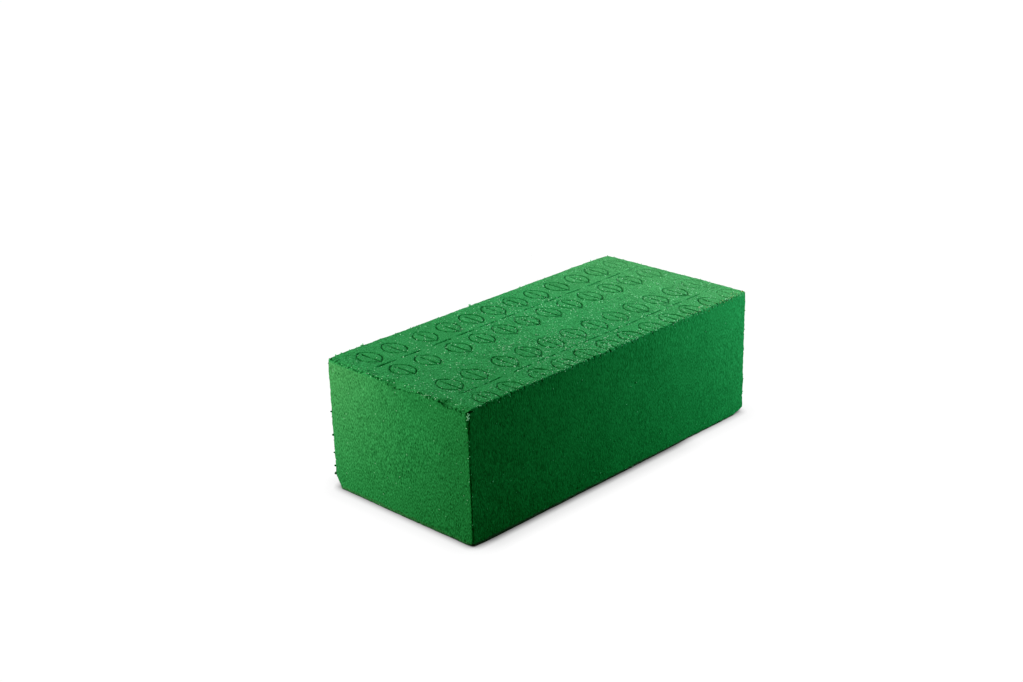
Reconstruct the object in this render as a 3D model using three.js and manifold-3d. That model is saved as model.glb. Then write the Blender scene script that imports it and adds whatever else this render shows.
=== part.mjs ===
// Floral foam brick: one block of fine-celled phenolic foam, sawn to size, with rows of leaf marks
// pressed into its top by a print roller.
//
// Millimetres, +Z up. The origin is the centre of the bottom face, +X runs along the brick and
// +Y across it.

import * as THREE from "three";
import { mergeVertices } from "three/addons/utils/BufferGeometryUtils.js";
import Module from "manifold-3d";

const wasm = await Module();
wasm.setup();

// The block
const LENGTH = 230;
const WIDTH = 108;
const HEIGHT = 77;
const EDGE_RADIUS = 1.2; // crumbled top and bottom edges
const CORNER_RADIUS = 2.4; // crumbled upright edges
const ROUND_SEGMENTS = 3;

// The pressed marks
const GROOVE_WIDTH = 1.1;
const GROOVE_DEPTH = 0.9;
const LEAF_HALF_WIDTH = 6.2; // across the middle of the outline groove
const LEAF_HALF_HEIGHT = 9;
const LEAF_SEGMENTS = 5; // to each side of a leaf
const RIB_FOOT = -10.2; // the midrib runs out past the foot of the leaf as its stalk
const RIB_TIP = 5.8;
const BAR_LENGTH = 13;

// The print: bands of two leaf rows, with a row of bars between them
const LEAVES_IN_ROW = 12;
const LEAF_PITCH = 18;
const FIRST_LEAF_X = -99;
const LEAVES_BEFORE_SEAM = 2; // the roller's seam widens the gap after these
const SEAM_GAP = 5;
const FIRST_BAND_Y = 24.5;
const BAND_PITCH = 60.3; // the second band's front row is cut off by the brick's edge
const BAND_SHIFT = 1.8;
const BANDS = 2;
const ROW_OFFSET = 13.4; // from the bars to the middle of the leaves

const CUT_CLEARANCE = 1; // how far a cutter stands above the top face

/** A closed three.js geometry as a solid. */
function solidOf(geometry) {
  const bare = geometry.clone();
  bare.deleteAttribute("normal");
  bare.deleteAttribute("uv");
  const merged = mergeVertices(bare, 1e-3);
  return new wasm.Manifold(
    new wasm.Mesh({
      numProp: 3,
      vertProperties: merged.attributes.position.array,
      triVerts: new Uint32Array(merged.index.array),
    }),
  );
}

/** A solid as a three.js geometry with flat faces. */
function geometryOf(solid) {
  const mesh = solid.getMesh();
  const geometry = new THREE.BufferGeometry();
  geometry.setAttribute("position", new THREE.BufferAttribute(mesh.vertProperties, 3));
  geometry.setIndex(new THREE.BufferAttribute(mesh.triVerts, 1));
  const flat = geometry.toNonIndexed();
  flat.computeVertexNormals();
  return flat;
}

/** A rectangle with round corners, centred on the origin. */
function roundedRectangle(length, width, radius) {
  const x = length / 2 - radius;
  const y = width / 2 - radius;
  const shape = new THREE.Shape();
  shape.absarc(x, y, radius, 0, Math.PI / 2);
  shape.absarc(-x, y, radius, Math.PI / 2, Math.PI);
  shape.absarc(-x, -y, radius, Math.PI, 1.5 * Math.PI);
  shape.absarc(x, -y, radius, 1.5 * Math.PI, 2 * Math.PI);
  return shape;
}

/** The sawn block before it is printed, with every edge rounded. */
function sawnBlock() {
  const footprint = roundedRectangle(LENGTH, WIDTH, CORNER_RADIUS);
  const geometry = new THREE.ExtrudeGeometry(footprint, {
    depth: HEIGHT - 2 * EDGE_RADIUS,
    curveSegments: ROUND_SEGMENTS,
    bevelThickness: EDGE_RADIUS,
    bevelSize: EDGE_RADIUS,
    bevelOffset: -EDGE_RADIUS,
    bevelSegments: ROUND_SEGMENTS,
  });
  geometry.translate(0, 0, EDGE_RADIUS);
  return solidOf(geometry);
}

/**
 * A pointed leaf: two arcs that meet at a tip and a foot. The arcs pass `grow` outside the middle
 * of the outline groove, on the same centres, so that a groove between two leaves is even.
 */
function leafShape(grow) {
  const radius = (LEAF_HALF_WIDTH ** 2 + LEAF_HALF_HEIGHT ** 2) / (2 * LEAF_HALF_WIDTH);
  const centre = radius - LEAF_HALF_WIDTH;
  const half = Math.acos(centre / (radius + grow));
  const shape = new THREE.Shape();
  shape.absarc(-centre, 0, radius + grow, -half, half);
  shape.absarc(centre, 0, radius + grow, Math.PI - half, Math.PI + half);
  return shape;
}

/** A cutter that sinks a flat shape into the top face by the depth of the grooves. */
function cutter(shape) {
  const geometry = new THREE.ExtrudeGeometry(shape, {
    depth: GROOVE_DEPTH + CUT_CLEARANCE,
    curveSegments: LEAF_SEGMENTS,
    bevelEnabled: false,
  });
  geometry.translate(0, 0, HEIGHT - GROOVE_DEPTH);
  return solidOf(geometry);
}

/** A straight stroke between two corners of its rectangle. */
function strokeShape(x0, y0, x1, y1) {
  return new THREE.Shape([
    new THREE.Vector2(x0, y0),
    new THREE.Vector2(x1, y0),
    new THREE.Vector2(x1, y1),
    new THREE.Vector2(x0, y1),
  ]);
}

/** One leaf mark: its outline, and a midrib that runs out as a stalk. */
function leafCutter() {
  const outline = leafShape(GROOVE_WIDTH / 2);
  outline.holes.push(leafShape(-GROOVE_WIDTH / 2));
  const half = GROOVE_WIDTH / 2;
  const rib = strokeShape(-half, RIB_FOOT, half, RIB_TIP);
  return cutter(outline).add(cutter(rib));
}

/** The bar that lies between a leaf of one row and a leaf of the next. */
function barCutter() {
  const x = BAR_LENGTH / 2;
  const y = GROOVE_WIDTH / 2;
  return cutter(strokeShape(-x, -y, x, y));
}

/** Where the marks of a band stand along the brick. */
function markPlaces(band) {
  return Array.from({ length: LEAVES_IN_ROW }, (_, i) => {
    const seam = i < LEAVES_BEFORE_SEAM ? 0 : SEAM_GAP;
    return FIRST_LEAF_X + i * LEAF_PITCH + seam + band * BAND_SHIFT;
  });
}

/** The whole print, as one cutter. */
function print() {
  const leaf = leafCutter();
  const bar = barCutter();
  const marks = [];
  for (let band = 0; band < BANDS; band++) {
    const y = FIRST_BAND_Y - band * BAND_PITCH;
    for (const x of markPlaces(band)) {
      marks.push(leaf.translate([x, y + ROW_OFFSET, 0]));
      marks.push(bar.translate([x, y, 0]));
      marks.push(leaf.translate([x, y - ROW_OFFSET, 0]));
    }
  }
  return wasm.Manifold.union(marks);
}

const foam = new THREE.MeshStandardMaterial({ color: 0x2a8a48, roughness: 1, metalness: 0 });

const block = new THREE.Mesh(geometryOf(sawnBlock().subtract(print())), foam);
block.name = "foam_block";

const brick = new THREE.Group();
brick.add(block);

export default brick;
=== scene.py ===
"""A floral foam brick: a sawn block of fine-celled green foam with leaf marks pressed into its top,
its worn edges, and the loose grains that cling to it.

Shapes are worked out in millimetres about the block's own axes: x along it, y across it and z up
from the surface it lies on. They go into meshes in metres.
"""

import math

import bpy
import numpy as np
from mathutils import Matrix, Vector


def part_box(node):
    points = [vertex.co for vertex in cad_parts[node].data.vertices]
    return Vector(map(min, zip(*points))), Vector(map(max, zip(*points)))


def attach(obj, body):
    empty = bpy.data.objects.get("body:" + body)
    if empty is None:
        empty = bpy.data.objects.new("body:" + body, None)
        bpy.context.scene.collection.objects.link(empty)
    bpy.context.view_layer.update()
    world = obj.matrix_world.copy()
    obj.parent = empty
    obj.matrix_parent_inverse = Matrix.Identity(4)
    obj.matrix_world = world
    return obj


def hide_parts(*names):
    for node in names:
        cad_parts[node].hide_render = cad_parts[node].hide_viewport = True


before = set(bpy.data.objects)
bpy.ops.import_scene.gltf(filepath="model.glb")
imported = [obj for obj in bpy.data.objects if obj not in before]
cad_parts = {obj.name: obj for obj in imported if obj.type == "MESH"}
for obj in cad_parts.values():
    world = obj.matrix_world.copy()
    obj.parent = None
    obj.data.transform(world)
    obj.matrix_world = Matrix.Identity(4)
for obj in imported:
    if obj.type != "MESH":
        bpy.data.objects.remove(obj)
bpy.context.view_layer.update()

MM = 0.001
LOW, HIGH = (np.array(corner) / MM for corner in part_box("foam_block"))
MIDDLE = (LOW + HIGH) / 2
HALF = (HIGH - LOW) / 2
TOP = HIGH[2]

# The print in the top: bands of two leaf rows, with a row of bars between them
GROOVE_WIDTH = 0.85
GROOVE_RAMP = 0.3  # how far a groove's wall leans, each side of its middle
GROOVE_SHADE_RAMP = 0.22  # the same for its darker colour: the denser green of pressed foam, with painted shade in the groove
GROOVE_DEPTH = 0.7
BAND_WEAKENS = 0.25  # how much shallower each band is than the one behind it
LEAF_HALF_WIDTH = 6.2
LEAF_HALF_HEIGHT = 9
RIB_FOOT = -10.2
RIB_TIP = 5.8
BAR_LENGTH = 13
LEAVES_IN_ROW = 12
LEAF_PITCH = 18
FIRST_LEAF_X = -99
LEAVES_BEFORE_SEAM = 2
SEAM_GAP = 5
FIRST_BAND_Y = 24.5
BAND_PITCH = 60.3
BAND_SHIFT = 1.8
BANDS = 2
ROW_OFFSET = 13.4
RUBBED_TO, RUBBED_FADES, LEAST_PRINT = 118, 30, 0.45  # the print is rubbed at the far end

# The arcs of a leaf's sides
LEAF_RADIUS = (LEAF_HALF_WIDTH**2 + LEAF_HALF_HEIGHT**2) / (2 * LEAF_HALF_WIDTH)
LEAF_CENTRE = LEAF_RADIUS - LEAF_HALF_WIDTH

# The struck end, whose top edge is crushed, and the long sides that it lies between
STRUCK_X = float(LOW[0])
FRONT_Y = float(LOW[1])
BACK_Y = float(HIGH[1])
CRUSHED_LEAN = math.radians(25)
CRUSHED_DROP = 1.15  # on the mean
LEAST_DROP = 0.1
CRUSHED_GROWS = 42  # how far from the back the crushing takes to reach its full depth

# The foam's surface
CELL = (0.43, 0.43, 0.6)  # the skin's grid before it is thinned
MOST_TRIANGLES = 196_000


# ---------------------------------------------------------------- numbers that vary over a surface


class Value:
    """A shader socket as a number: + - * / ** > < and abs() on it add Math nodes."""

    def __init__(self, tree, socket):
        self.tree = tree
        self.socket = socket

    def math(self, operation, *others):
        node = self.tree.nodes.new("ShaderNodeMath")
        node.operation = operation
        for slot, value in zip(node.inputs, others):
            if isinstance(value, Value):
                self.tree.links.new(value.socket, slot)
            else:
                slot.default_value = float(value)
        return Value(self.tree, node.outputs[0])

    def __add__(self, other):
        return self.math("ADD", self, other)

    def __sub__(self, other):
        return self.math("SUBTRACT", self, other)

    def __rsub__(self, other):
        return self.math("SUBTRACT", other, self)

    def __mul__(self, other):
        return self.math("MULTIPLY", self, other)

    def __truediv__(self, other):
        return self.math("DIVIDE", self, other)

    def __rtruediv__(self, other):
        return self.math("DIVIDE", other, self)

    def __pow__(self, other):
        return self.math("POWER", self, other)

    def __gt__(self, other):
        return self.math("GREATER_THAN", self, other)

    def __lt__(self, other):
        return self.math("LESS_THAN", self, other)

    def __abs__(self):
        return self.math("ABSOLUTE", self)

    __radd__ = __add__
    __rmul__ = __mul__


# These work on numbers in arrays and on shader values alike.


def least(a, b):
    return a.math("MINIMUM", a, b) if isinstance(a, Value) else np.minimum(a, b)


def most(a, b):
    return a.math("MAXIMUM", a, b) if isinstance(a, Value) else np.maximum(a, b)


def wave(a):
    return a.math("SINE", a) if isinstance(a, Value) else np.sin(a)


def whole(a):
    return a.math("ROUND", a) if isinstance(a, Value) else np.round(a)


def between(a, low, high):
    return least(most(a, low), high)


def reach(a, b):
    """The length of the vector (a, b)."""
    return (a * a + b * b) ** 0.5


def print_place(x, y):
    """Where a point of the top lies in the print: along from the nearest column of marks, across
    from the nearest row of bars, and the number of its band. The seam's gap is cut out of x."""
    band = between(whole((FIRST_BAND_Y - y) / BAND_PITCH), 0, BANDS - 1)
    along = x - FIRST_LEAF_X - band * BAND_SHIFT
    along = along - between(along - (LEAVES_BEFORE_SEAM - 0.5) * LEAF_PITCH, 0, SEAM_GAP)
    column = between(whole(along / LEAF_PITCH), 0, LEAVES_IN_ROW - 1)
    return along - column * LEAF_PITCH, y - FIRST_BAND_Y + band * BAND_PITCH, band


def print_distance(u, v):
    """How far a point lies from the nearest line of the print. A leaf's outline is the distance to
    an arc, or to the leaf's end where the point lies past the arc. Its rib and the bar between two
    leaves are distances to a straight stretch."""
    bar = reach(most(abs(u) - BAR_LENGTH / 2, 0), v)
    w = v - ((v > 0) * 2 - 1) * ROW_OFFSET
    arc = abs(reach(abs(u) + LEAF_CENTRE, w) - LEAF_RADIUS)
    end = reach(u, abs(w) - LEAF_HALF_HEIGHT)
    past = abs(w) * LEAF_CENTRE > (abs(u) + LEAF_CENTRE) * LEAF_HALF_HEIGHT
    outline = arc + past * (end - arc)
    rib = reach(u, most(w - RIB_TIP, 0) + most(RIB_FOOT - w, 0))
    return least(least(outline, rib), bar)


def pressed(distance, ramp):
    """1 in a groove and 0 outside it, with a straight ramp across its edge."""
    return between((GROOVE_WIDTH / 2 + ramp - distance) / (2 * ramp), 0, 1)


def print_left(x):
    """How much of the print's depth is left: all of it, less at the far end, where it is rubbed."""
    return between((RUBBED_TO - x) / RUBBED_FADES, LEAST_PRINT, 1)


def crushed_drop(y):
    """How far below the top the crushed slope meets the struck end: nothing at the far corner, the
    most at the middle and again near the front, with a long wave and a short one along it."""
    grown = between((BACK_Y - y) / CRUSHED_GROWS, 0, 1)
    long_wave = (1.25 + y / 120) * wave((y + 12.5) / 6.7)
    short_wave = 0.35 * wave(y / 2.1 + 1)
    return grown * most(CRUSHED_DROP + long_wave + short_wave, LEAST_DROP)


# ---------------------------------------------------------------- noise


def scattered(cell, seed):
    """A number from 0 to 1 for each cell: its three whole numbers are multiplied by large primes,
    added, and scrambled by shifts and a product."""
    n = (cell * np.array([73856093, 19349663, 83492791])).sum(-1) + seed * 7919
    n = (n ^ (n >> 13)) * 1274126177 & 0xFFFFFFFF
    n = (n ^ (n >> 16)) * 668265263 & 0xFFFFFFFF
    return (n >> 8 & 0xFFFF) / 0xFFFF


def noise(points, size, seed):
    """Smooth noise from -1 to 1: random numbers on a lattice of the given size, blended across
    each cell by 3t^2 - 2t^3 on each axis."""
    at = points / size
    cell = np.floor(at).astype(np.int64)
    t = at - cell
    t = t * t * (3 - 2 * t)
    total = np.zeros(len(points))
    for corner in np.ndindex(2, 2, 2):
        weight = np.where(corner, t, 1 - t).prod(-1)
        total += weight * scattered(cell + corner, seed)
    return 2 * total - 1


def noises(points, parts, start=0.0):
    """A start plus several noises, each given by its height, its size and its seed."""
    return sum((height * noise(points, size, seed) for height, size, seed in parts), start)


# ---------------------------------------------------------------- meshes


def placed(name, data):
    """A new object in the scene for a mesh, a camera or a light."""
    thing = bpy.data.objects.new(name, data)
    bpy.context.scene.collection.objects.link(thing)
    return thing


def new_piece(name, points, faces, material, smooth=True):
    """A mesh object from points in millimetres and faces that all have as many corners."""
    mesh = bpy.data.meshes.new(name)
    mesh.vertices.add(len(points))
    mesh.vertices.foreach_set("co", (points * MM).astype(np.float32).ravel())
    mesh.loops.add(faces.size)
    mesh.loops.foreach_set("vertex_index", faces.astype(np.int32).ravel())
    mesh.polygons.add(len(faces))
    starts = np.arange(0, faces.size, faces.shape[1], dtype=np.int32)
    mesh.polygons.foreach_set("loop_start", starts)
    mesh.polygons.foreach_set("use_smooth", np.full(len(faces), smooth))
    mesh.update(calc_edges=True)
    mesh.validate()
    mesh.materials.append(material)
    return placed(name, mesh)


def box_skin(counts):
    """The closed skin of a box of whole cells: six grids of four-cornered faces that share the
    lattice points along their edges. Gives the lattice points and the faces, facing out."""
    steps = np.array(counts) + 1
    faces = []
    for axis in range(3):
        a, b = (axis + 1) % 3, (axis + 2) % 3
        u, v = np.meshgrid(np.arange(steps[a]), np.arange(steps[b]), indexing="ij")
        for end in (0, counts[axis]):
            point = [None] * 3
            point[axis], point[a], point[b] = np.full_like(u, end), u, v
            key = np.ravel_multi_index(point, steps)
            corners = [key[:-1, :-1], key[1:, :-1], key[1:, 1:], key[:-1, 1:]]
            if end == 0:
                corners.reverse()
            faces.append(np.stack(corners, -1).reshape(-1, 4))
    used, faces = np.unique(np.concatenate(faces), return_inverse=True)
    return np.stack(np.unravel_index(used, steps), 1), faces.reshape(-1, 4)


def thinned(piece, triangles):
    """Merges edges of a mesh, the flattest first, until it has about as many triangles as asked,
    and keeps it above the surface that it lies on."""
    now = sum(len(face.vertices) - 2 for face in piece.data.polygons)
    modifier = piece.modifiers.new("thin", "DECIMATE")
    modifier.ratio = triangles / now
    graph = bpy.context.evaluated_depsgraph_get()
    mesh = bpy.data.meshes.new_from_object(piece.evaluated_get(graph))
    place = np.empty(len(mesh.vertices) * 3, np.float32)
    mesh.vertices.foreach_get("co", place)
    place[2::3] = np.maximum(place[2::3], 0)
    mesh.vertices.foreach_set("co", place)
    piece.modifiers.clear()
    piece.data = mesh
    return piece


# ---------------------------------------------------------------- the foam block


EDGE_RADIUS = 0.5
EDGE_WEAR = ((0.25, 9, 11), (0.2, 2.6, 12))
SHARPEST_EDGE = 0.25
CORNERS_WORN = {  # the ends of x, y and z that meet there, and the radius that wear has left
    (-1, -1, -1): 1.8,
    (1, -1, 1): 1.0,
    (1, 1, 1): 1.7,
    (-1, 1, 1): 1.2,
    (1, 1, -1): 3.0,
}
CORNER_REACH = 5.0

CORNERS_KNOCKED_OFF = {  # the ends that meet there, and how far along each edge the break runs
    (-1, 1, -1): (5.0, 4.6, 6.6),
    (1, -1, -1): (9.0, 7.0, 2.4),
    (1, 1, -1): (4.0, 5.0, 3.5),
    (-1, -1, 1): (1.6, 1.9, 9.0),
}

BITE_SEED = 7
EDGE_BITES = 110
BITE_RADII = (0.5, 1.5)
TORN_PITS = 80
TORN_PIT_RADII = (0.4, 0.95)

UNEVENNESS = ((0.22, 31, 41), (0.10, 10, 42), (0.07, 2.4, 43), (0.07, 1.3, 44))
CRUMBLING = ((0.16, 3.1, 45), (0.06, 1.5, 46))
CRUMBLING_REACH = 1.2
MOST_SWELLING = 0.08  # how far the crumbling may stand an edge proud
BREAK_UNEVENNESS = 0.4


def edge_radius(p):
    """The radius of the block's edges: patches of noise, opened out round each worn corner by a
    bell curve of the distance from it."""
    radius = noises(p, EDGE_WEAR, EDGE_RADIUS)
    for ends, worn in CORNERS_WORN.items():
        distance = np.linalg.norm(p - HALF * ends, axis=1)
        radius += (worn - EDGE_RADIUS) * np.exp(-((distance / CORNER_REACH) ** 2))
    return np.maximum(radius, SHARPEST_EDGE)


def rounded_box(p, radius):
    """Rounds a box's edges. A core is smaller than the box by the radius, and what a point stands
    out of the core is brought to the radius's length. Gives the points and their ways out."""
    core = np.clip(p, radius[:, None] - HALF, HALF - radius[:, None])
    out = p - core
    out /= np.linalg.norm(out, axis=1, keepdims=True)
    return core + out * radius[:, None], out


def bevelled(p, normal, offset):
    """Cuts off what stands past a plane: such points drop along its unit normal onto it. The
    plane's distance from the middle may differ from point to point."""
    return p - np.maximum(p @ normal - offset, 0)[:, None] * normal


def broken_corners(p):
    """Takes off the knocked corners. A plane meets the corner's three edges at the given distances
    from it, so along each axis its normal goes as one over the distance."""
    for ends, runs in CORNERS_KNOCKED_OFF.items():
        normal = np.array(ends) / runs
        size = np.linalg.norm(normal)
        offset = (normal @ (HALF * ends) - 1) / size
        rough = BREAK_UNEVENNESS * noise(p, 3.5, 24)
        p = bevelled(p, normal / size, offset - BREAK_UNEVENNESS + rough)
    return p


def struck_edge(p):
    """The end's top edge is crushed to a gentle slope: a plane leans over the edge and meets the
    end as far down as the drop says, with a fine unevenness."""
    lean = np.array([-math.sin(CRUSHED_LEAN), 0, math.cos(CRUSHED_LEAN)])
    drop = crushed_drop(p[:, 1]) + BREAK_UNEVENNESS * noise(p, 2.2, 23)
    edge = np.array([-HALF[0], 0, HALF[2]]) @ lean
    return bevelled(p, lean, edge - np.maximum(drop, 0) * lean[2])


def bitten(p, centres, radii):
    """Pushes the points inside each ball out to its wall, which leaves a round bite."""
    for centre, radius in zip(centres, radii):
        near = np.flatnonzero((np.abs(p - centre) < radius * 1.3).all(1))
        away = p[near] - centre
        distance = np.linalg.norm(away, axis=1)
        wall = radius * (1 + 0.25 * noise(p[near], radius * 0.9, 31))
        inside = distance < wall
        p[near[inside]] = centre + away[inside] * (wall / distance)[inside, None]
    return p


def edge_bites(rng):
    """Places for bites. Each lies at random along one of the block's twelve edges, with its centre
    outside the edge, so that it takes off a chip."""
    axis = rng.integers(0, 3, EDGE_BITES)
    ends = rng.choice([-1, 1], (EDGE_BITES, 3))
    centres = HALF * ends
    rows = np.arange(EDGE_BITES)
    centres[rows, axis] = rng.uniform(-1, 1, EDGE_BITES) * HALF[axis]
    radii = rng.uniform(*BITE_RADII, EDGE_BITES)
    out = ends.astype(float)
    out[rows, axis] = 0
    return centres + out * (radii * 0.45)[:, None], radii


def pits_below_struck_edge(rng):
    """Places for pits that are torn out along the line where the crushed slope meets the end."""
    y = rng.uniform(-0.98, 0.8, TORN_PITS) * HALF[1]
    z = HALF[2] - crushed_drop(y) + rng.normal(-0.5, 0.4, TORN_PITS)
    radii = rng.uniform(*TORN_PIT_RADII, TORN_PITS)
    return np.stack([-HALF[0] - radii * 0.35, y, z], 1), radii


def foam_skin():
    """The block's surface. A box skin is rounded at its edges, sloped and bitten where it is worn,
    and raised or lowered along its way out by slow unevenness, a grain, and the crumbling that is
    strongest at the edges. The bottom stays level. Then the print sinks into the top, each stretch
    of it as deep as a noise says."""
    counts = np.ceil(2 * HALF / CELL).astype(int)
    lattice, faces = box_skin(counts)
    p = (2 * lattice / counts - 1) * HALF
    from_edge = np.sort(HALF - np.abs(p), axis=1)[:, 1]
    p, out = rounded_box(p, edge_radius(p))
    p = broken_corners(struck_edge(p))
    rng = np.random.default_rng(BITE_SEED)
    p = bitten(p, *edge_bites(rng))
    p = bitten(p, *pits_below_struck_edge(rng))
    crumbling = np.exp(-from_edge / CRUMBLING_REACH)
    rise = noises(p, UNEVENNESS) - crumbling * np.maximum(noises(p, CRUMBLING), -MOST_SWELLING)
    below = out[:, 2] < -0.7
    rise[below] = np.minimum(rise[below] - 0.1, 0)
    p += out * rise[:, None]
    p += MIDDLE
    p[:, 2] = np.maximum(p[:, 2], 0)
    u, v, band = print_place(p[:, 0], p[:, 1])
    depth = GROOVE_DEPTH * (1 - BAND_WEAKENS * band) * print_left(p[:, 0])
    depth *= np.clip(0.8 + 0.5 * noise(p, 5.5, 51), 0.15, 1.2)
    on_top = np.clip((p[:, 2] - TOP + 3) / 2, 0, 1)
    p[:, 2] -= depth * on_top * pressed(print_distance(u, v), GROOVE_RAMP)
    return p, faces


# ---------------------------------------------------------------- loose grains


GRAIN_SEED = 19
DUST_GRAINS = 800
DUST_SIZES = (0.22, 0.38)
EDGE_CRUMBS = 180
EDGE_CRUMB_SIZES = (0.2, 0.4)
HANGING_CRUMB_SIZES = (0.6, 0.95)
GRAIN_PULL = (0.65, 1.15)
GRAIN_STRETCH = (0.6, 1.25)
CRUMBS_BELOW_TOP = (31.8, 45.6, 56.4, 63.8, 68.8)  # on the upright edge at the struck end's back
CRUMBS_FROM_END = (6, 24, 25, 61, 108, 150, 214)  # on the top's back edge
CORNER_CRUMBS_BELOW_TOP = (1.9, 2.7, 3.5, 4.4, 5.2)  # on the struck end's front upright edge
CORNER_CRUMB_STEP = 1.1  # every second one lies this far round the corner
DUST_PATCHES = ((1.2, 24, 61), (0.6, 7, 62))
FRONT_EDGE_DUST, DRIED_END_DUST, FOOT_DUST, UPRIGHT_DUST = 3, 2, 1.5, 4
DUST_EVERYWHERE = 0.010
LIFTED = 0.05  # no grain reaches lower than this


def grain_ball():
    """The twelve corners and twenty faces of a grain: a pole, two rings of five that are half a
    step apart, and a pole."""
    turn = np.arange(5) * 2 * np.pi / 5
    height = 1 / math.sqrt(5)
    spread = 2 / math.sqrt(5)
    ring = np.stack([np.cos(turn) * spread, np.sin(turn) * spread, np.full(5, height)], 1)
    half = turn + np.pi / 5
    low_ring = np.stack([np.cos(half) * spread, np.sin(half) * spread, np.full(5, -height)], 1)
    corners = np.concatenate([[[0, 0, 1]], ring, low_ring, [[0, 0, -1]]])
    i = np.arange(5)
    j = (i + 1) % 5
    upper = np.stack([np.zeros(5, int), 1 + i, 1 + j], 1)
    down = np.stack([1 + i, 6 + i, 1 + j], 1)
    up = np.stack([6 + i, 6 + j, 1 + j], 1)
    lower = np.stack([6 + i, np.full(5, 11), 6 + j], 1)
    return corners, np.concatenate([upper, down, up, lower])


def grains(centres, sizes, rng):
    """Broken grains: a ball for each centre, each of its corners pulled in or out at random,
    stretched on three axes and turned at random."""
    corners, faces = grain_ball()
    count = len(centres)
    pulled = corners * rng.uniform(*GRAIN_PULL, (count, 12, 1))
    shape = pulled * rng.uniform(*GRAIN_STRETCH, (count, 1, 3))
    turn = np.linalg.qr(rng.normal(size=(count, 3, 3)))[0]
    turn *= np.sign(np.linalg.det(turn))[:, None, None]
    points = centres[:, None] + (shape @ turn) * sizes[:, None, None]
    offsets = 12 * np.arange(count)[:, None, None]
    return points.reshape(-1, 3), (faces + offsets).reshape(-1, 3)


def face_places(piece):
    """The middle, the way out and the area of each of a piece's faces, in millimetres."""
    mesh = piece.data
    number = len(mesh.polygons)
    centre, normal, area = np.empty(number * 3), np.empty(number * 3), np.empty(number)
    mesh.polygons.foreach_get("center", centre)
    mesh.polygons.foreach_get("normal", normal)
    mesh.polygons.foreach_get("area", area)
    return centre.reshape(-1, 3) / MM, normal.reshape(-1, 3), area


def surface_spots(faces, density, count, rng):
    """Random spots on the faces, by area times a density of the place and the way out."""
    centre, normal, area = faces
    weight = area * density(centre, normal)
    chosen = rng.choice(len(area), count, replace=False, p=weight / weight.sum())
    return centre[chosen], normal[chosen]


def nearest_spots(faces, places):
    """The spots on the faces that are nearest to the given places."""
    centre, normal, _ = faces
    chosen = [np.argmin(((centre - place) ** 2).sum(1)) for place in places]
    return centre[chosen], normal[chosen]


def grain_density(p, normal):
    """Where dust clings: in patches over the top, thicker forwards and midway along it. To those
    are added bell curves for the front edge and its far stretch, a spot at the front's foot, and
    the top of the struck end's front upright edge. A little lies everywhere."""
    top = (normal[:, 2] > 0.6) & (p[:, 2] > TOP - 4)
    patches = np.clip(noises(p, DUST_PATCHES, 0.5), 0.1, None)
    forward = np.clip(0.8 - p[:, 1] / 90, 0.25, 1.4)
    midway = np.clip(1.1 - np.abs(p[:, 0] + 12) / 110, 0.15, 1)
    front = p[:, 1] - LOW[1]
    front_edge = np.exp(-((front / 1.6) ** 2)) * np.exp(-np.abs(p[:, 2] - TOP) / 0.8)
    dried_end = top * np.exp(-((front / 5) ** 2)) * np.clip((p[:, 0] - 62) / 20, 0, 1)
    foot = np.exp(-front / 0.8) * np.exp(-(((p[:, 0] - 12) / 10) ** 2)) * np.exp(-p[:, 2] / 2.5)
    upright = np.exp(-(np.hypot(front, p[:, 0] - LOW[0]) / 1.5) ** 2) * (TOP - p[:, 2] < 12)
    edges = FRONT_EDGE_DUST * front_edge + DRIED_END_DUST * dried_end
    spots = edges + FOOT_DUST * foot + UPRIGHT_DUST * upright
    return top * patches * forward * midway + spots + DUST_EVERYWHERE


def hanging_places():
    """Where the bigger crumbs stand out from three of the edges."""
    upright = [(LOW[0], HIGH[1], TOP - below) for below in CRUMBS_BELOW_TOP]
    along = [(LOW[0] + far, HIGH[1], TOP) for far in CRUMBS_FROM_END]
    corner = [
        (LOW[0] + CORNER_CRUMB_STEP * (place % 2), LOW[1], TOP - below)
        for place, below in enumerate(CORNER_CRUMBS_BELOW_TOP)
    ]
    return np.array(upright + along + corner)


def edge_density(p, normal):
    """Where small crumbs cling: within a millimetre of any edge but the lowest ones."""
    from_edge = np.sort(HALF - np.abs(p - MIDDLE), axis=1)[:, 1]
    return np.exp(-((from_edge / 0.8) ** 2)) * (p[:, 2] > 2)


def grain_specks(block, rng):
    """All the loose grains: fine dust over the top, small crumbs along the worn edges, and the few
    bigger ones that hang there. Each stands half out of the foam."""
    faces = face_places(block)
    dust = surface_spots(faces, grain_density, DUST_GRAINS, rng)
    crumbs = surface_spots(faces, edge_density, EDGE_CRUMBS, rng)
    hanging = nearest_spots(faces, hanging_places())
    centres, normals = (np.concatenate(parts) for parts in zip(dust, crumbs, hanging))
    sizes = np.concatenate(
        [
            rng.uniform(*DUST_SIZES, DUST_GRAINS) * (1 + 0.8 * rng.random(DUST_GRAINS) ** 6),
            rng.uniform(*EDGE_CRUMB_SIZES, EDGE_CRUMBS),
            rng.uniform(*HANGING_CRUMB_SIZES, len(hanging[0])),
        ]
    )
    points, triangles = grains(centres + normals * (sizes * 0.5)[:, None], sizes, rng)
    points[:, 2] = np.maximum(points[:, 2], LIFTED)
    return points, triangles


# ---------------------------------------------------------------- materials


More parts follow.
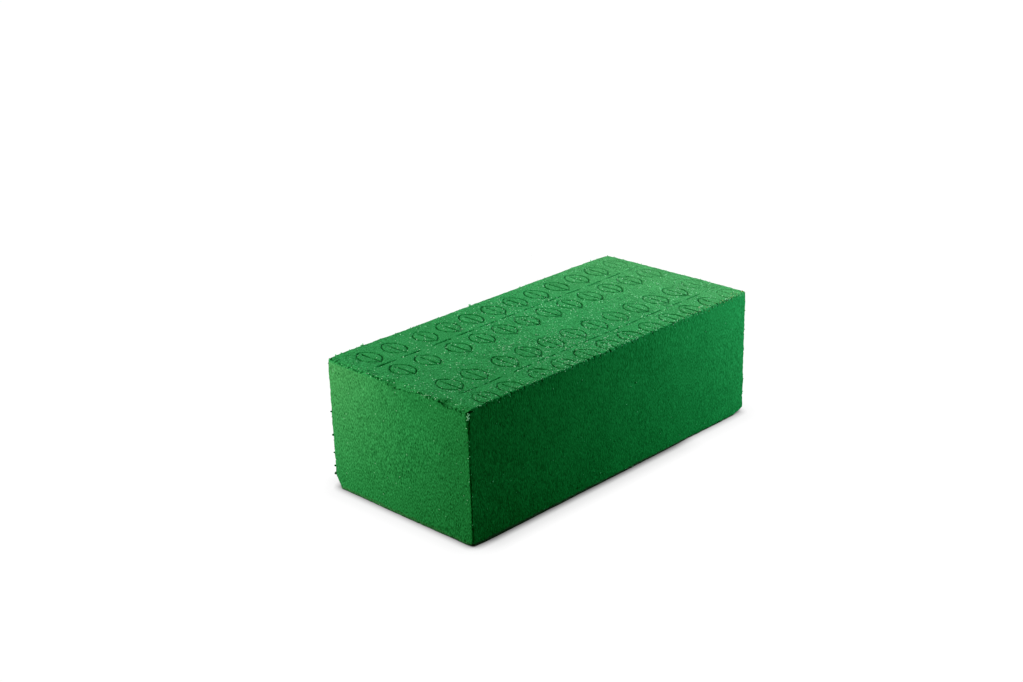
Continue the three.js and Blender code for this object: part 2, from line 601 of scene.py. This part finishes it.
class Surface:
    """A material whose nodes are added by expressions."""

    def __init__(self, name):
        self.material = bpy.data.materials.new(name)
        self.material.use_nodes = True
        self.tree = self.material.node_tree
        self.tree.nodes.clear()

    def node(self, kind, settings=None, sockets=None):
        """Adds a node: its settings first, then a value or a link for each named socket."""
        node = self.tree.nodes.new(kind)
        for name, value in (settings or {}).items():
            setattr(node, name, value)
        for name, value in (sockets or {}).items():
            slot = next(s for s in node.inputs if name in (s.identifier, s.name))
            if isinstance(value, Value):
                value = value.socket
            if isinstance(value, bpy.types.NodeSocket):
                self.tree.links.new(value, slot)
            else:
                slot.default_value = value
        return node

    def value(self, kind, output, settings=None, sockets=None):
        """A node's output as a number."""
        return Value(self.tree, self.node(kind, settings, sockets).outputs[output])

    def noise(self, where, size, detail=2.0):
        """Soft noise about 0, from about -1 to 1, with features of the given size in mm."""
        raw = self.value(
            "ShaderNodeTexNoise",
            "Fac",
            {"noise_dimensions": "3D"},
            {"Vector": where, "Scale": 1 / size, "Detail": detail, "Roughness": 0.5},
        )
        return (raw - 0.5) * 2.6

    def mix(self, factor, a, b):
        """A blend of two colours."""
        sockets = {"Factor_Float": factor, "A_Color": a, "B_Color": b}
        return self.node("ShaderNodeMix", {"data_type": "RGBA"}, sockets).outputs[2]

    def place(self):
        """Object coordinates in millimetres, as a vector and as x, y and z."""
        raw = self.node("ShaderNodeTexCoord").outputs["Object"]
        scaled = self.node(
            "ShaderNodeVectorMath", {"operation": "SCALE"}, {"Vector": raw, "Scale": 1 / MM}
        ).outputs[0]
        split = self.node("ShaderNodeSeparateXYZ", None, {"Vector": scaled})
        return scaled, *(Value(self.tree, split.outputs[i]) for i in range(3))

    def stretched(self, where, factors):
        """Coordinates multiplied axis by axis."""
        return self.node(
            "ShaderNodeVectorMath",
            {"operation": "MULTIPLY"},
            {"Vector": where, "Vector_001": factors},
        ).outputs[0]

    def finish(self, sockets, height=None):
        """Ends the material in a Principled shader, with a bump whose heights are in mm."""
        if height is not None:
            bump = self.node(
                "ShaderNodeBump", None, {"Strength": 1.0, "Distance": MM, "Height": height}
            )
            sockets = {**sockets, "Normal": bump.outputs[0]}
        shader = self.node("ShaderNodeBsdfPrincipled", None, sockets)
        self.node("ShaderNodeOutputMaterial", None, {"Surface": shader.outputs[0]})
        return self.material


FOAM_GREEN = (0.049, 0.260, 0.094, 1)
# Painted light and haze: a paler green where the lamps fall bright or the top is seen at a glance
LIT_HAZE_GREEN = (0.073, 0.270, 0.103, 1)
PRESSED_AND_SHADE_GREEN = (0.010, 0.065, 0.024, 1)  # the denser green of pressed foam, and painted shade in grooves, in pits, on the torn line and on hanging crumbs
TORN_GREEN = (0.42, 0.75, 0.50, 1)  # broken cell walls
# Painted shadow under the rounded bottom edge
PAINTED_FOOT_SHADOW = (0.12, 0.16, 0.10, 1)
GRAIN_GREEN = (0.14, 0.44, 0.20, 1)
DRIED_TAN = (0.52, 0.40, 0.15, 1)

# The foam's grain
SAWN_STRETCH = (1.0, 1.0, 0.33)  # the saw draws it out upright
SIDE_GRAIN, TOP_GRAIN = 0.46, 0.64
GRAIN_SHADE, MORE_ON_TOP, LESS_ON_LONG_SIDES = 0.87, 0.06, 0.33
BROAD_SIZE, BROAD_SHADE = 16.0, 0.08
SHADE_RANGE = (0.2, 2.6)

# What darkens it: pressed foam, and painted shade in grooves, pits and on the torn line
GROOVE_DARKNESS = 0.82
GROOVE_BREAK_SIZE, GROOVE_BREAKS = 3.0, 1.4
# Pits: round spots darkened with painted shade, more so on the top
PIT_SPACING, PIT_RADIUS = 1.2, 0.42
PIT_SHARE, MORE_PITS_ON_TOP = 0.10, 0.16
PIT_DARKNESS, DARKER_ON_TOP = 0.4, 0.15
# The torn line: a band of painted shade along the pits under the crushed slope
TORN_LINE_BELOW, TORN_LINE_HALF_WIDTH = 0.3, 0.7

# Painted light and haze that pale it, painted shadow along its foot, and pale specks
LIT_FROM_Y, LIT_OVER_Y = -10, 60
HAZE_FROM_X, HAZE_OVER_X, MOST_HAZE = 20, 90, 0.9
FOOT_SHADOW_HEIGHT, FOOT_SHADOW_EDGE = 1.7, 0.6
SPECK_SPACING, SPECK_RADIUS = 1.25, 0.42
SPECK_STRETCH = (1.0, 1.03, 0.98)  # so that specks and pits don't fall together
SPECK_SHARE, MORE_MIDWAY, SIDE_SPECK_SHARE = 0.20, 0.12, 0.008
SPECK_PATCH_SIZE, SPECK_PATCHES = 24.0, 0.15

FOAM_IOR = 1.45
FOAM_SPECULAR = 0.12

# Which grains are tan, and which get painted shade
DRIED_Y = FRONT_Y + 8
HANGING_LEAN = -0.35  # crumbs past this slanting line hang on the far upright edge and get painted shade
HANGING_FROM = BACK_Y + STRUCK_X * HANGING_LEAN - 0.9


def spots_of(s, where, spacing, radius, share):
    """Round spots: one for each random point, if the random number that goes with the point is
    under the share, which may differ from place to place. A second one makes some fainter."""
    point = s.node("ShaderNodeTexVoronoi", None, {"Vector": where, "Scale": 1 / spacing})
    split = s.node("ShaderNodeSeparateColor", None, {"Color": point.outputs["Color"]})
    chance, strength = (Value(s.tree, split.outputs[i]) for i in (0, 1))
    near = Value(s.tree, point.outputs["Distance"])
    disc = between((radius / spacing - near) * 9, 0, 1)
    return disc * (chance < share) * (0.25 + 0.75 * strength**1.5)


def foam_finish():
    """Dry foam: a fine open grain, drawn out upright on the sawn sides, softer on the long ones. It
    is darker where it is pressed, with painted shade in its grooves, pits and torn line; painted
    light and haze make it paler towards the back and top of its sides and the far end of its top;
    painted shadow darkens its foot; and it has torn pale cells and dust on the top."""
    s = Surface("dry_foam")
    where, x, y, z = s.place()
    top = between((z - TOP + 2.5) / 1.5, 0, 1)
    side = 1 - top

    sawn = s.stretched(where, SAWN_STRETCH)
    grain = s.noise(sawn, SIDE_GRAIN, 1.0) * side + s.noise(where, TOP_GRAIN, 1.0) * top
    long_side = between((x - STRUCK_X - 1) * 2, 0, 1) * side
    broad = s.noise(where, BROAD_SIZE, 3.0)
    patches = s.noise(where, SPECK_PATCH_SIZE)

    u, v, band = print_place(x, y)
    flat_top = between((z - TOP + 3) / 2, 0, 1)
    # The grooves' darker colour is partly pressed foam and partly painted shade that falls in them
    groove = pressed(print_distance(u, v), GROOVE_SHADE_RAMP) * flat_top * print_left(x)
    broken = s.noise(where, GROOVE_BREAK_SIZE) * GROOVE_BREAKS
    groove = groove * between(0.85 - band * 0.15 + broken, 0.05, 1)

    # Pits are small hollows in the bump, and their dark colour is painted shade
    pits = spots_of(s, where, PIT_SPACING, PIT_RADIUS, PIT_SHARE + MORE_PITS_ON_TOP * top)
    # Painted shade along the torn line of pits under the crushed slope
    below = z - TOP + crushed_drop(y) + TORN_LINE_BELOW + s.noise(where, 2.2) * 0.5
    line = between(1.2 - abs(below) / TORN_LINE_HALF_WIDTH, 0, 1)
    shaded_torn_line = line * between((STRUCK_X + 4 - x) * 2, 0, 1)
    shaded_torn_line = shaded_torn_line * between(0.3 + s.noise(where, 1.6) * 2.2, 0, 1)
    # dark: pressed foam in the grooves, and painted shade in them, in pits and on the torn line
    dark = most(groove * GROOVE_DARKNESS, shaded_torn_line)
    dark = most(dark, pits * (PIT_DARKNESS + DARKER_ON_TOP * top))

    strength = GRAIN_SHADE + top * MORE_ON_TOP - long_side * LESS_ON_LONG_SIDES
    shade = between(1 + grain * strength + broad * BROAD_SHADE, *SHADE_RANGE)
    # Painted light: paler towards the back and top of the sides; painted haze: paler towards the
    # far end of the top
    lit_back_and_up = between((y - LIT_FROM_Y) / LIT_OVER_Y, 0, 1) * between(z / TOP, 0, 1) * side
    painted_light_and_haze = lit_back_and_up + between((x - HAZE_FROM_X) / HAZE_OVER_X, 0, 1) * top * MOST_HAZE
    base = s.mix(painted_light_and_haze, FOAM_GREEN, LIT_HAZE_GREEN)
    green = s.node("ShaderNodeVectorMath", {"operation": "SCALE"}, {"Vector": base, "Scale": shade})
    colour = s.mix(dark, green.outputs[0], PRESSED_AND_SHADE_GREEN)
    # Painted shadow along the foot, deepest on the front side and lower towards the far end
    front = between(FRONT_Y + 2 - y, 0, 1)
    foot_shadow_to = FOOT_SHADOW_HEIGHT + s.noise(where, 3.0) * 0.7 - x / 200
    foot = between((foot_shadow_to - z) / FOOT_SHADOW_EDGE, 0, 1) * (0.3 + 0.6 * front)
    colour = s.mix(foot, colour, PAINTED_FOOT_SHADOW)

    midway = between(MORE_MIDWAY - abs(x + 2) / 400, 0, MORE_MIDWAY)
    dusty = SPECK_SHARE + midway + patches * SPECK_PATCHES - y / 450 - abs(x + 12) / 1000
    share = between(dusty, 0.03, 0.5) * top + SIDE_SPECK_SHARE
    apart = s.stretched(where, SPECK_STRETCH)
    specks = spots_of(s, apart, SPECK_SPACING, SPECK_RADIUS, share)
    colour = s.mix(specks * (0.55 + 0.4 * top), colour, TORN_GREEN)

    height = grain * (0.08 + 0.03 * top) - dark * 0.25 + specks * 0.12
    rough = between(0.88 - groove * 0.12 + grain * 0.06, 0, 1)
    sockets = {"Base Color": colour, "Roughness": rough, "IOR": FOAM_IOR}
    return s.finish({**sockets, "Specular IOR Level": FOAM_SPECULAR}, height)


def grain_finish():
    """Broken grains: the foam's green, paler where the cell walls are torn, dried out to tan about
    one end of the front edge, and darkened with painted shade where they hang on the far upright
    edge."""
    s = Surface("foam_grains")
    where, x, y, _ = s.place()
    pale = between(0.75 + s.noise(where, 1.7) * 0.9, 0, 1)
    colour = s.mix(pale, GRAIN_GREEN, TORN_GREEN)
    dried = between((x - 50) / 30, 0, 1) * between((DRIED_Y - y) / 6, 0, 1)
    dried = dried * between(0.4 + s.noise(where, 2.5) * 2, 0, 1)
    colour = s.mix(dried, colour, DRIED_TAN)
    # Painted shade on the crumbs that hang on the far upright edge
    hanging = between((y + x * HANGING_LEAN - HANGING_FROM) * 2, 0, 1)
    colour = s.mix(hanging * 0.9, colour, PRESSED_AND_SHADE_GREEN)
    return s.finish({"Base Color": colour, "Roughness": 0.9, "Specular IOR Level": FOAM_SPECULAR})


# ---------------------------------------------------------------- the object


def build_block():
    points, faces = foam_skin()
    block = new_piece("printed_foam", points, faces, foam_finish())
    thinned(block, MOST_TRIANGLES)
    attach(block, "root")
    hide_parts("foam_block")
    return block


def build_grains(block):
    points, faces = grain_specks(block, np.random.default_rng(GRAIN_SEED))
    loose = new_piece("loose_grains", points, faces, grain_finish(), smooth=False)
    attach(loose, "root")


# ---------------------------------------------------------------- the studio


CAMERA_LENS = 56.71
CAMERA_TURN = (-45.331, 21.262, -1.637)  # azimuth, elevation and roll in degrees
CAMERA_SLIDE = (-20.474, 25.861, 924.04)  # to its right, up and back from the block's middle

LAMPS = {  # place and size in metres, power in watts, and tint
    "left_lamp": ((-0.304, 0.156, 0.161), 0.16, 1.02, (1.07, 0.99, 0.93)),
    "right_lamp": ((0.280, -0.211, 0.180), 0.16, 1.10, (0.80, 1.07, 1.07)),
    "top_lamp": ((0.140, 0.094, 0.378), 0.20, 1.37, (1.09, 0.91, 0.98)),
    "front_lamp": ((-0.42, -0.48, 0.30), 0.25, 0.25, (1, 1, 1)),
    "back_lamp": ((0.34, 0.46, 0.05), 0.10, 1.1, (1, 1, 1)),
}

CONTACT_REACHES = (5, 16)  # how far the two contact shadows reach from the block
CONTACT_POWERS = (1.55, 0.62)
SHADE_FROM, SHADE_TO, SHADE_LEAST = -118, 65, 0.42  # where along the block they are deep
SHADE_FADES = 30
FLOOR_GREY = 0.3
FLOOR_GLOW = 1.02
FLOOR_HALF_WIDTH = 20 / MM
FLOOR_DROP = 0.03
WORLD_FOR_BLOCK, WORLD_FOR_EYE = 0.02, 1.02

TONE_TOE = 0.03
TONE_POWER = 2.9
TONE_STEPS = 14


def looking(azimuth, elevation, roll):
    """The turn of a camera that looks down at the origin: its own right, up and back as columns."""
    a, e, r = (math.radians(angle) for angle in (azimuth, elevation, roll))
    back = Vector((math.sin(a) * math.cos(e), -math.cos(a) * math.cos(e), math.sin(e)))
    right = Vector((0, 0, 1)).cross(back).normalized()
    up = back.cross(right)
    right, up = right * math.cos(r) + up * math.sin(r), up * math.cos(r) - right * math.sin(r)
    return Matrix((right, up, back)).transposed()


def add_camera():
    """The camera stands back from the block's middle, and is slid sideways and up from there."""
    data = bpy.data.cameras.new("camera")
    data.sensor_width = 36
    data.lens = CAMERA_LENS
    data.clip_end = 50
    camera = placed("camera", data)
    turn = looking(*CAMERA_TURN)
    place = Vector(MIDDLE * MM) + turn @ (Vector(CAMERA_SLIDE) * MM)
    camera.matrix_world = Matrix.Translation(place) @ turn.to_4x4()
    bpy.context.scene.camera = camera


def add_light(name, place, size, power, colour):
    """A soft square light that faces the block's middle and is out of sight itself."""
    data = bpy.data.lights.new(name, "AREA")
    data.size = size
    data.energy = power
    data.color = colour
    light = placed(name, data)
    light.location = place
    light.rotation_mode = "QUATERNION"
    light.rotation_quaternion = (Vector(MIDDLE * MM) - light.location).to_track_quat("-Z", "Y")
    light.visible_camera = False


def add_floor():
    """A wide floor, just under the block. To the eye it is white and glows, less where the block
    stands close over it: two shares of open sky are raised to powers, the more so along the middle
    of the block. To the block it is a dim grey."""
    s = Surface("white_floor")
    seen = s.value("ShaderNodeLightPath", "Is Camera Ray")
    _, x, _, _ = s.place()
    close, wide = (
        s.value("ShaderNodeAmbientOcclusion", "AO", None, {"Distance": far * MM})
        for far in CONTACT_REACHES
    )
    inside = least(x - SHADE_FROM, SHADE_TO - x) / SHADE_FADES
    deep = between(SHADE_LEAST + inside, SHADE_LEAST, 1)
    open_sky = (close ** CONTACT_POWERS[0] * wide ** CONTACT_POWERS[1]) ** deep
    glow = s.node("ShaderNodeEmission", None, {"Strength": seen * open_sky * FLOOR_GLOW})
    grey = s.node("ShaderNodeBsdfDiffuse", None, {"Color": FLOOR_GREY * (1 - seen)})
    both = s.node("ShaderNodeAddShader")
    s.tree.links.new(glow.outputs[0], both.inputs[0])
    s.tree.links.new(grey.outputs[0], both.inputs[1])
    s.node("ShaderNodeOutputMaterial", None, {"Surface": both.outputs[0]})
    square = np.array([[-1, -1], [1, -1], [1, 1], [-1, 1]]) * FLOOR_HALF_WIDTH
    corners = np.column_stack([square, np.full(4, -FLOOR_DROP)])
    floor = new_piece("floor", corners, np.array([[0, 1, 2, 3]]), s.material)


def add_surroundings():
    """White to the eye, and nearly dark to the block, so that the lights alone shape it."""
    world = bpy.data.worlds.new("studio")
    bpy.context.scene.world = world
    world.use_nodes = True
    nodes, links = world.node_tree.nodes, world.node_tree.links
    nodes.clear()
    path = nodes.new("ShaderNodeLightPath")
    strength = nodes.new("ShaderNodeMapRange")
    strength.inputs["To Min"].default_value = WORLD_FOR_BLOCK
    strength.inputs["To Max"].default_value = WORLD_FOR_EYE
    links.new(path.outputs["Is Camera Ray"], strength.inputs["Value"])
    light = nodes.new("ShaderNodeBackground")
    light.inputs["Color"].default_value = (1, 1, 1, 1)
    links.new(strength.outputs[0], light.inputs["Strength"])
    out = nodes.new("ShaderNodeOutputWorld")
    links.new(light.outputs[0], out.inputs[0])


def tone(x):
    """A camera's contrast: x times (x / (x + k)) ** n, scaled so that white stays white."""
    return x * (x / (x + TONE_TOE)) ** TONE_POWER * (1 + TONE_TOE) ** TONE_POWER


def set_tone():
    """Puts the tone curve into the view: its steps are closer together in the darks."""
    settings = bpy.context.scene.view_settings
    settings.view_transform = "Standard"
    settings.use_curve_mapping = True
    curve = settings.curve_mapping.curves[3]
    for step in range(1, TONE_STEPS):
        x = (step / TONE_STEPS) ** 2.5
        curve.points.new(x, tone(x))
    settings.curve_mapping.update()


add_camera()
add_floor()
add_surroundings()
for name, lamp in LAMPS.items():
    add_light(name, *lamp)
set_tone()

build_grains(build_block())
